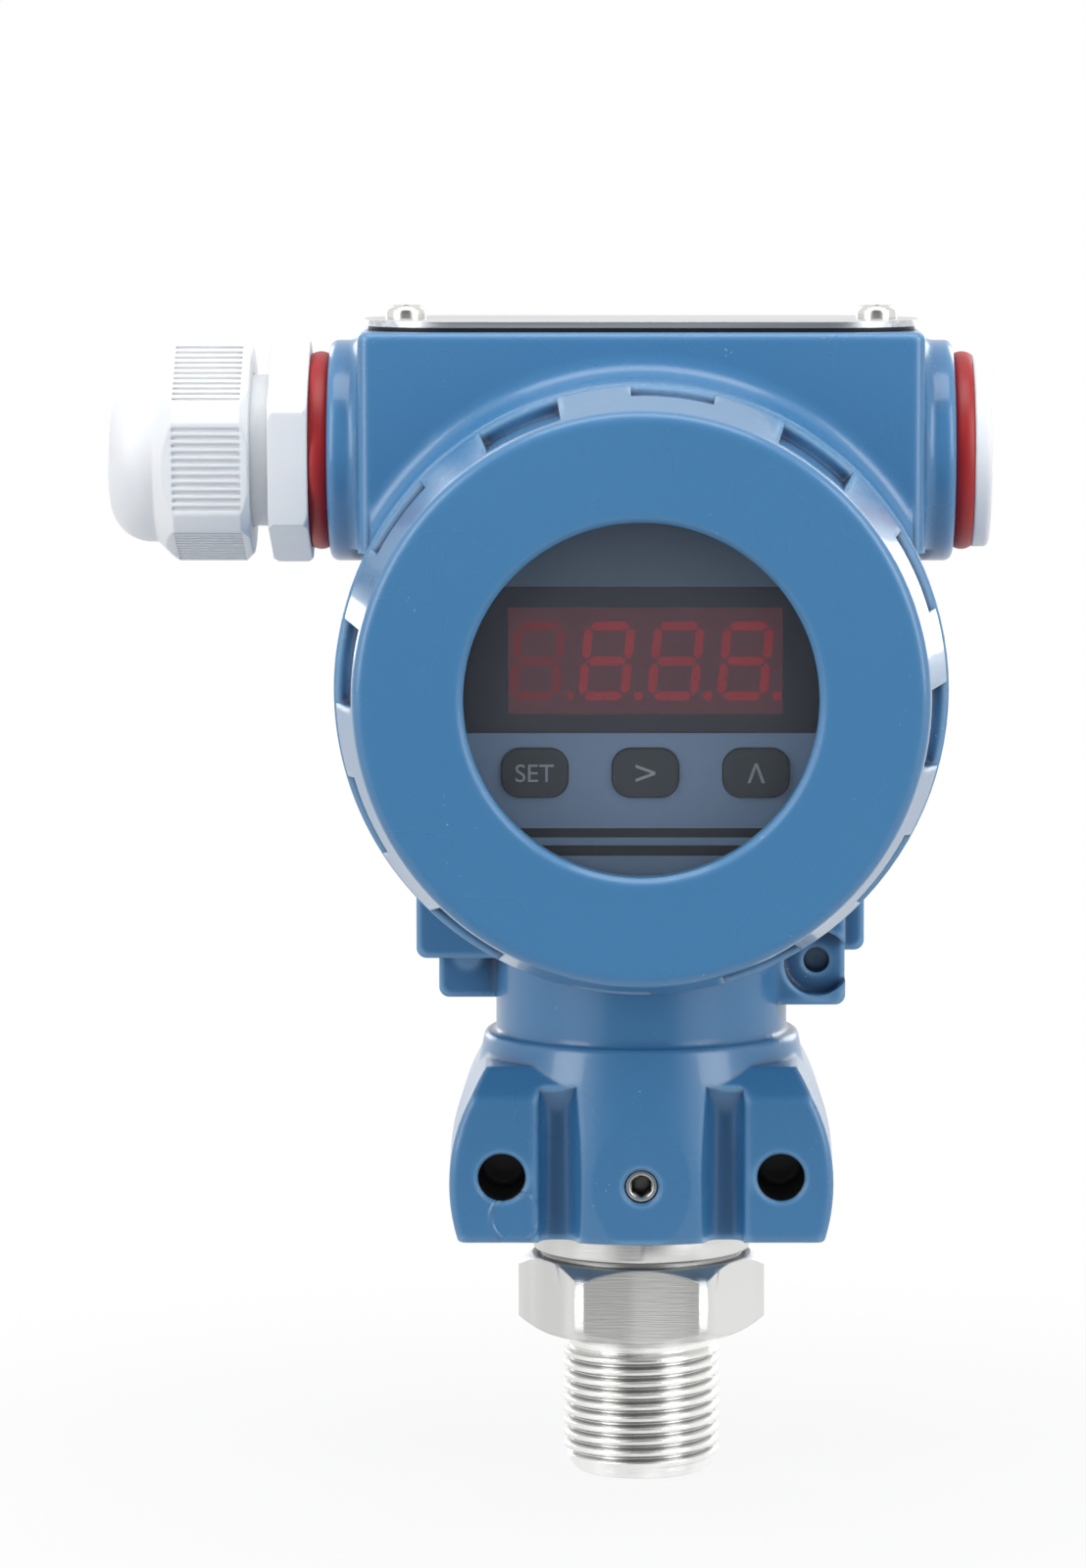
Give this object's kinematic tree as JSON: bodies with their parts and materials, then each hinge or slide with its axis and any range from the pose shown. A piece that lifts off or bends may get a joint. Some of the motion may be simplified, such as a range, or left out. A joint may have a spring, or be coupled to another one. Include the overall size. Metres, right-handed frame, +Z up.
{
  "type": "pressure transmitter",
  "caption": "Process pressure transmitter: cast two-chamber housing with screw covers, numeric display and keys, cable gland, blanking plug and threaded process connection.",
  "frame": {"origin": "mouth of the pressure port, on the axis of the process thread", "axes": "+Z up, against the way the process thread screws in; the window faces -Y; the cable gland points to -X"},
  "size_m": [0.1113, 0.093, 0.1495],
  "materials": {
    "blue_enamel": "glossy enamel on a casting",
    "stainless_steel": "turned and brushed",
    "bright_steel": "plated fastener",
    "window_glass": "polished",
    "black_rubber": "moulded",
    "key_rubber": "moulded",
    "red_silicone": "moulded",
    "white_nylon": "moulded",
    "display_grey": "fine texture",
    "display_filter": "dark smooth sheet",
    "led_face": "smooth",
    "red_segment": "smooth",
    "circuit_board": "lacquered laminate",
    "black_plastic": "moulded",
    "brass": "turned",
    "terminal_plastic": "moulded",
    "plate_aluminium": "anodised sheet",
    "ceramic": "fired ceramic"
  },
  "bodies": {
    "housing": {"housing": "blue_enamel", "display_panel": "display_grey", "display_filter": "display_filter", "led_display": "led_face", "digit_segments": "red_segment", "key_switches": "black_plastic", "display_board": "circuit_board", "standoffs": "brass", "display_screws": "bright_steel", "signal_board": "circuit_board", "signal_board_screws": "bright_steel", "terminal_block": "terminal_plastic", "terminal_clamps": "bright_steel", "terminal_screws": "bright_steel", "terminal_block_screws": "bright_steel", "nameplate": "plate_aluminium", "nameplate_gasket": "black_rubber", "nameplate_screws": "bright_steel", "process_connection": "stainless_steel", "sensor_cell": "ceramic", "sensor_seal": "black_rubber", "sensor_ring": "stainless_steel", "sensor_pins": "bright_steel", "lock_screw": "bright_steel", "gland_washer": "red_silicone", "gland_body": "white_nylon"},
    "front_cover_travel": {"front_cover_seal": "black_rubber"},
    "front_cover": {"front_cover": "blue_enamel", "window_glass": "window_glass", "window_gasket": "black_rubber", "window_ring": "plate_aluminium"},
    "rear_cover_travel": {"rear_cover_seal": "black_rubber"},
    "rear_cover": {"rear_cover": "blue_enamel"},
    "gland_nut_travel": {"gland_seal": "black_rubber"},
    "gland_nut": {"gland_nut": "white_nylon"},
    "plug_travel": {"plug_washer": "red_silicone"},
    "plug": {"plug": "white_nylon"},
    "key_set": {"key_set": "key_rubber"},
    "key_shift": {"key_shift": "key_rubber"},
    "key_up": {"key_up": "key_rubber"}
  },
  "joints": [
    {"name": "front_cover_slide", "type": "slide", "parent": "housing", "child": "front_cover_travel", "axis": [0, -1, 0], "range_m": [0, 0.009]},
    {"name": "front_cover_turn", "type": "hinge", "parent": "front_cover_travel", "child": "front_cover", "pos_m": [0, 0, 0.1035], "axis": [0, -1, 0], "range_deg": [0, 2160]},
    {"name": "rear_cover_slide", "type": "slide", "parent": "housing", "child": "rear_cover_travel", "axis": [0, 1, 0], "range_m": [0, 0.009]},
    {"name": "rear_cover_turn", "type": "hinge", "parent": "rear_cover_travel", "child": "rear_cover", "pos_m": [0, 0, 0.1035], "axis": [0, 1, 0], "range_deg": [0, 2160]},
    {"name": "gland_nut_slide", "type": "slide", "parent": "housing", "child": "gland_nut_travel", "axis": [-1, 0, 0], "range_m": [0, 0.008]},
    {"name": "gland_nut_turn", "type": "hinge", "parent": "gland_nut_travel", "child": "gland_nut", "pos_m": [0, 0, 0.1311], "axis": [-1, 0, 0], "range_deg": [0, 1440]},
    {"name": "plug_slide", "type": "slide", "parent": "housing", "child": "plug_travel", "axis": [1, 0, 0], "range_m": [0, 0.0075]},
    {"name": "plug_turn", "type": "hinge", "parent": "plug_travel", "child": "plug", "pos_m": [0, 0, 0.1311], "axis": [1, 0, 0], "range_deg": [0, 1800]},
    {"name": "key_set_press", "type": "slide", "parent": "housing", "child": "key_set", "axis": [0, 1, 0], "range_m": [0, 0.0008], "stiffness_N_per_m": 600, "springref_m": -0.0004},
    {"name": "key_shift_press", "type": "slide", "parent": "housing", "child": "key_shift", "axis": [0, 1, 0], "range_m": [0, 0.0008], "stiffness_N_per_m": 600, "springref_m": -0.0004},
    {"name": "key_up_press", "type": "slide", "parent": "housing", "child": "key_up", "axis": [0, 1, 0], "range_m": [0, 0.0008], "stiffness_N_per_m": 600, "springref_m": -0.0004}
  ],
  "couplings": [
    {"joint": "front_cover_slide", "follows": "front_cover_turn", "m_per_rad": 0.00023873},
    {"joint": "rear_cover_slide", "follows": "rear_cover_turn", "m_per_rad": 0.00023873},
    {"joint": "gland_nut_turn", "follows": "gland_nut_slide", "rad_per_m": 3141.6},
    {"joint": "plug_turn", "follows": "plug_slide", "rad_per_m": 4188.8}
  ]
}
